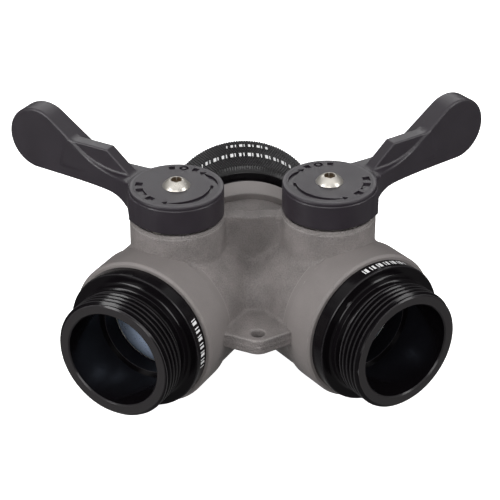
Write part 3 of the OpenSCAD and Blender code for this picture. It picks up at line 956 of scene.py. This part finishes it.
def handle(across, reach, z):
    """Distance to the right handle without its cap."""
    stem_away = np.hypot(across, reach)
    disc = shared(stem_away - DISC_R, slab(z, DISC_BOTTOM, CAP_BOTTOM), 0.35)
    # The blade's front face narrows like a power of its reach, and its back is nearly flat
    far = np.maximum(reach, 12)
    root = 15.4
    power = 1.8
    taper = 0.015
    front = 9.3 * (root / far) ** power - taper * (far - root)
    front_slope = -9.3 * power * root**power / far ** (power + 1) - taper
    back = -8.9 - 1.4 * np.exp(-(far - 14.8) / 10)
    sides = np.maximum((across - front) / np.hypot(1, front_slope), back - across)
    blade = shared(outline_distance(reach, z, BLADE_OUTLINE), sides, 0.8)
    gusset = shared(outline_distance(reach, z, GUSSET_OUTLINE), slab(across, -4.5, 0.6), 0.45)
    solid = blended(blended(blade, gusset, 0.8), disc, 2.0)
    solid = np.where(stem_away < DISC_R, np.maximum(solid, z - CAP_BOTTOM), solid)
    square = np.maximum(np.abs(across), np.abs(reach)) - STEM_SQUARE_HALF
    square = np.maximum(square, z - STEM_SQUARE_TOP)
    end = np.minimum(np.hypot(across - STOP_SLOT_R, reach), np.hypot(across, reach - STOP_SLOT_R))
    between = (across > 0) & (reach > 0)
    slot = np.where(between, np.abs(stem_away - STOP_SLOT_R), end) - STOP_SLOT_HALF_W
    slot = np.maximum(slot, z - STOP_SLOT_TOP)
    hollow = np.minimum(np.minimum(square, slot), stem_away - SCREW_HOLE_R)
    return np.maximum(solid, -hollow)


def polar(degrees, radius):
    """A point on the disc's face, from an angle that starts along the handle."""
    a = math.radians(degrees)
    return (radius * math.sin(a), radius * math.cos(a))


def swept_arrow(start, end, radius_start, radius_end, width, head):
    """A curved arrow that grows from a point to its head, between angles in degrees."""
    steps = 16
    thinnest = 0.06
    outer = []
    inner = []
    for i in range(steps + 1):
        t = i / steps
        angle = start + (end - start) * t
        radius = radius_start + (radius_end - radius_start) * t
        swell = math.sin(math.pi * min(1, 0.15 + 0.85 * t) ** 1.2) ** 0.7
        half = thinnest + width / 2 * swell
        outer.append(polar(angle, radius + half))
        inner.append(polar(angle, radius - half))
    tip = end + math.copysign(head * 6, end - start)
    barbs = [polar(end, radius_end + head), polar(tip, radius_end), polar(end, radius_end - head)]
    return outer + barbs + inner[::-1]


def ring_outline(degrees, radius, size, steps=24):
    """A small circle whose centre is at that angle and radius."""
    cx, cy = polar(degrees, radius)
    return arc(cx, cy, size, 0, 360 * (steps - 1) / steps, steps - 1)


def bar_outline(start, end, low, high):
    """A bar that is bent round the disc, between two angles and two radii."""
    edge = [polar(start + (end - start) * i / 6, high) for i in range(7)]
    return edge + [polar(end + (start - end) * i / 6, low) for i in range(7)]


def dial_marks():
    """Cuts in the disc's face: two turning arrows, a ring between bars, and three longer bars."""
    marks = [
        swept_arrow(-156, -107, 15.1, 14.0, 2.0, 1.6),
        swept_arrow(-150, -253, 13.4, 14.4, 1.9, 1.4),
        bar_outline(-93, -84, 13.2, 15.8),
        bar_outline(-56, -47, 13.2, 15.8),
        bar_outline(20, 33, 12.8, 15.6),
        bar_outline(40, 64, 12.8, 15.6),
        bar_outline(71, 84, 12.8, 15.6),
    ]
    ring = ring_outline(-70, 14.4, 1.8)
    island = ring_outline(-70, 14.4, 0.8)
    return marks + [ring], [island]


def filled(outlines, low, high):
    """A flat plate from closed outlines, where an outline inside another is a hole."""
    curve = bpy.data.curves.new("plate", "CURVE")
    curve.dimensions = "2D"
    curve.fill_mode = "BOTH"
    curve.extrude = (high - low) / 2
    for outline in outlines:
        spline = curve.splines.new("POLY")
        spline.points.add(len(outline) - 1)
        spline.points.foreach_set("co", [v for x, y in outline for v in (x, y, 0, 1)])
        spline.use_cyclic_u = True
    holder = bpy.data.objects.new("plate", curve)
    bpy.context.scene.collection.objects.link(holder)
    mesh = bpy.data.meshes.new_from_object(holder.evaluated_get(bpy.context.evaluated_depsgraph_get()))
    points = np.array([tuple(v.co) for v in mesh.vertices]) + (0, 0, (low + high) / 2)
    faces = [list(p.vertices) for p in mesh.polygons]
    bpy.data.objects.remove(holder)
    bpy.data.curves.remove(curve)
    bpy.data.meshes.remove(mesh)
    return points, faces


def socket_screw():
    """A domed head with a hexagon socket, on a plain shank."""
    head_r = 5.3
    head_h = 3.1
    shank_r = 3.0
    shank_end = 37.5
    chamfer = 0.25
    dome_r = (head_r**2 + head_h**2) / (2 * head_h)
    count = 72
    turn = np.arange(count) * 2 * math.pi / count
    hexagon = SOCKET_R / np.cos((turn + math.pi / 6) % (math.pi / 3) - math.pi / 6)
    top = DISC_TOP + head_h

    def dome(r):
        return top - dome_r + np.sqrt(dome_r**2 - np.square(r))

    def loop(z, r):
        return around(np.broadcast_to(z, count), r, turn)

    rim = hexagon + chamfer
    loops = [
        loop(top - 2, hexagon * 0.96), loop(dome(hexagon * 0.96) - chamfer, hexagon),
        loop(dome(rim), rim),
    ]
    for share in (0.1, 0.2, 0.3, 0.4, 0.5, 0.6, 0.7, 0.8, 0.88, 0.94, 0.98, 1):
        radius = rim + (head_r - rim) * share
        loops.append(loop(dome(radius) + 0.02, radius))
    loops.append(loop(DISC_TOP + 0.02, np.full(count, head_r - 0.15)))
    loops.append(loop(DISC_TOP + 0.02, np.full(count, shank_r)))
    loops.append(loop(shank_end, np.full(count, shank_r)))
    return loft(loops)


def make_handles():
    """Each handle: its casting, the raised cap on its disc, the dial with its cuts, and a screw."""
    low = (-20, -20, DISC_BOTTOM - 1)
    high = (20, PADDLE_REACH + PADDLE_R + 1.5, BLADE_BOTTOM + 2 * PADDLE_R + 1.5)
    shape = skin(handle, low, high, 0.42)
    cap = lathe([
        (CAP_BOTTOM, SCREW_HOLE_R), (CAP_BOTTOM, DISC_R - 0.15, 0.1),
        (CAP_BOTTOM + 0.2, DISC_R, 0.1), (DISC_TOP, DISC_R, 0.75), (DISC_TOP, PLATE_R),
        (PLATE_BOTTOM, PLATE_R), (PLATE_BOTTOM, SCREW_HOLE_R),
    ], 192)
    holes, islands = dial_marks()
    rim = arc(0, 0, PLATE_R + 0.05, 0, 357.5, 143)
    hub = arc(0, 0, SCREW_HOLE_R, 0, 352.5, 47)
    plate = filled([rim, hub] + holes + islands, PLATE_BOTTOM - 0.02, DISC_TOP)
    screw = socket_screw()
    for side in SIDES:
        place = handle_place(side)
        make_piece(f"{side}_handle_casting", shape, place, handle_coat, f"{side}_valve",
                   f"{side}_handle", sharp=180)
        make_piece(f"{side}_handle_cap", cap, about_stem(place), handle_coat, f"{side}_valve",
                   sharp=30)
        make_piece(f"{side}_handle_dial", plate, place, dial_coat, f"{side}_valve",
                   sharp=30)
        make_piece(f"{side}_cap_screw", screw, about_stem(place), bright_steel[side],
                   f"{side}_valve", f"{side}_handle_screw", sharp=45)


# ---------------------------------------------------------------- room, light and camera

CAMERA_AZIMUTH = -3.646
CAMERA_ELEVATION = 29.762
CAMERA_ROLL = 0.169
CAMERA_SHIFT_MM = (-1.128, 18.839)
CAMERA_DISTANCE_MM = 726.03
CAMERA_LENS = 133.56

# How strongly the studio glows from below, at eye level and from above
GLOW_BELOW = 0.24
GLOW_LEVEL = 0.03
GLOW_ABOVE = 0.12

# Each soft light's name, place and size in metres, and power in watts
SOFTBOXES = (
    ("top_light", (0.0, -0.35, 1.1), (1.6, 0.8), 1.2),
    ("back_light", (0.0, 1.2, 0.75), (1.2, 0.3), 3.9),
    ("left_light", (-0.95, -0.6, 0.35), (0.3, 0.9), 8.2),
    ("right_light", (0.95, -0.5, 0.4), (0.3, 0.9), 5.4),
    ("front_light", (-0.15, -1.2, 0.5), (0.8, 0.5), 5.8),
)


def make_floor():
    """A round floor of white paper that turns up into a wall.

    The part rests on the swivel's rim and on both collars, so the floor leans to meet them.
    """
    swivel_low = (KNURL_FRONT + 1.5, -SWIVEL_R)
    collar_low = (stem_y - COLLAR_END * OUTLET_COS, -COLLAR_R)
    slope = (swivel_low[1] - collar_low[1]) / (swivel_low[0] - collar_low[0])
    turn = np.arange(64) * 2 * math.pi / 64
    loops = []
    gap = 0.1
    for radius, rise in ((1000, 0), (5000, 0), (5600, 600), (5600, 6000)):
        x = radius * np.cos(turn)
        y = radius * np.sin(turn)
        z = swivel_low[1] + slope * (y - swivel_low[0]) - gap + rise
        loops.append(np.stack((x, y, z), -1) * MM)
    faces = grid_faces(len(loops), len(turn), False, True)[:, ::-1].tolist()
    faces.append(list(range(len(turn))))
    mesh = bpy.data.meshes.new("floor")
    mesh.from_pydata(np.concatenate(loops).tolist(), [], faces)
    mesh.polygons.foreach_set("use_smooth", [True] * len(mesh.polygons))
    floor = bpy.data.objects.new("floor", mesh)
    bpy.context.scene.collection.objects.link(floor)
    n = Nodes("floor_paper")
    where = n.add("ShaderNodeTexCoord", {}).outputs["Object"]
    shade = n.stretch(n.noise(where, 60.0), 0.3, 0.7, 0.0, 1.0)
    color = n.mix(shade, (0.9, 0.9, 0.9, 1), (0.93, 0.93, 0.93, 1))
    n.tree.links.new(color, n.shader.inputs["Base Color"])
    n.shader.inputs["Roughness"].default_value = 0.9
    n.shader.inputs["Specular IOR Level"].default_value = 0.1
    n.shader.inputs["Emission Color"].default_value = (1, 1, 1, 1)
    n.shader.inputs["Emission Strength"].default_value = 1.0
    mesh.materials.append(n.material)
    # The paper would otherwise grey the glossy black parts and shut out the studio's glow
    floor.visible_glossy = False
    floor.visible_diffuse = False
    floor.visible_shadow = False


def make_softbox(name, position, size, power):
    """A large soft light that faces the object."""
    light = bpy.data.lights.new(name, "AREA")
    light.shape = "RECTANGLE"
    light.size = size[0]
    light.size_y = size[1]
    light.energy = power
    lamp = bpy.data.objects.new(name, light)
    target = Vector((0, stem_y * MM, 0.01))
    lamp.location = position
    lamp.rotation_euler = (target - Vector(position)).to_track_quat("-Z", "Y").to_euler()
    bpy.context.scene.collection.objects.link(lamp)


def make_lights():
    """The soft lights, and a studio that glows by height."""
    for softbox in SOFTBOXES:
        make_softbox(*softbox)
    world = bpy.data.worlds.new("studio")
    world.use_nodes = True
    tree = world.node_tree
    way = tree.nodes.new("ShaderNodeTexCoord").outputs["Generated"]
    split = tree.nodes.new("ShaderNodeSeparateXYZ")
    height = tree.nodes.new("ShaderNodeMapRange")
    glow = tree.nodes.new("ShaderNodeValToRGB")
    tree.links.new(way, split.inputs[0])
    tree.links.new(split.outputs["Z"], height.inputs["Value"])
    tree.links.new(height.outputs["Result"], glow.inputs["Fac"])
    tree.links.new(glow.outputs["Color"], tree.nodes["Background"].inputs["Strength"])
    height.inputs["From Min"].default_value = -1
    ramp = glow.color_ramp
    for place, level in ((0, GLOW_BELOW), (0.42, GLOW_LEVEL), (0.6, GLOW_LEVEL), (1, GLOW_ABOVE)):
        stop = ramp.elements[int(place)] if place in (0, 1) else ramp.elements.new(place)
        stop.color = (level, level, level, 1)
    tree.nodes["Background"].inputs["Color"].default_value = (1, 1, 1, 1)
    bpy.context.scene.world = world
    bpy.context.scene.view_settings.view_transform = "Standard"


def make_camera():
    """The photograph's camera, as fitted to the outlines of the outlets, discs and inlet ring."""
    azimuth = math.radians(CAMERA_AZIMUTH)
    elevation = math.radians(CAMERA_ELEVATION)
    back = Vector((
        math.sin(azimuth) * math.cos(elevation), -math.cos(azimuth) * math.cos(elevation),
        math.sin(elevation),
    ))
    right = Vector((math.cos(azimuth), math.sin(azimuth), 0))
    up = back.cross(right)
    data = bpy.data.cameras.new("camera")
    data.lens = CAMERA_LENS
    data.sensor_width = 36
    camera = bpy.data.objects.new("camera", data)
    place = Matrix((right, up, back)).transposed().to_4x4()
    offset = right * CAMERA_SHIFT_MM[0] + up * CAMERA_SHIFT_MM[1] + back * CAMERA_DISTANCE_MM
    place.translation = (offset + Vector((0, stem_y, 0))) * MM
    camera.matrix_world = place @ Matrix.Rotation(math.radians(CAMERA_ROLL), 4, "Z")
    bpy.context.scene.collection.objects.link(camera)
    bpy.context.scene.camera = camera


make_camera()
paint_cad_nodes()
make_body()
make_outlets()
make_marks()
make_swivel()
make_handles()
make_floor()
make_lights()
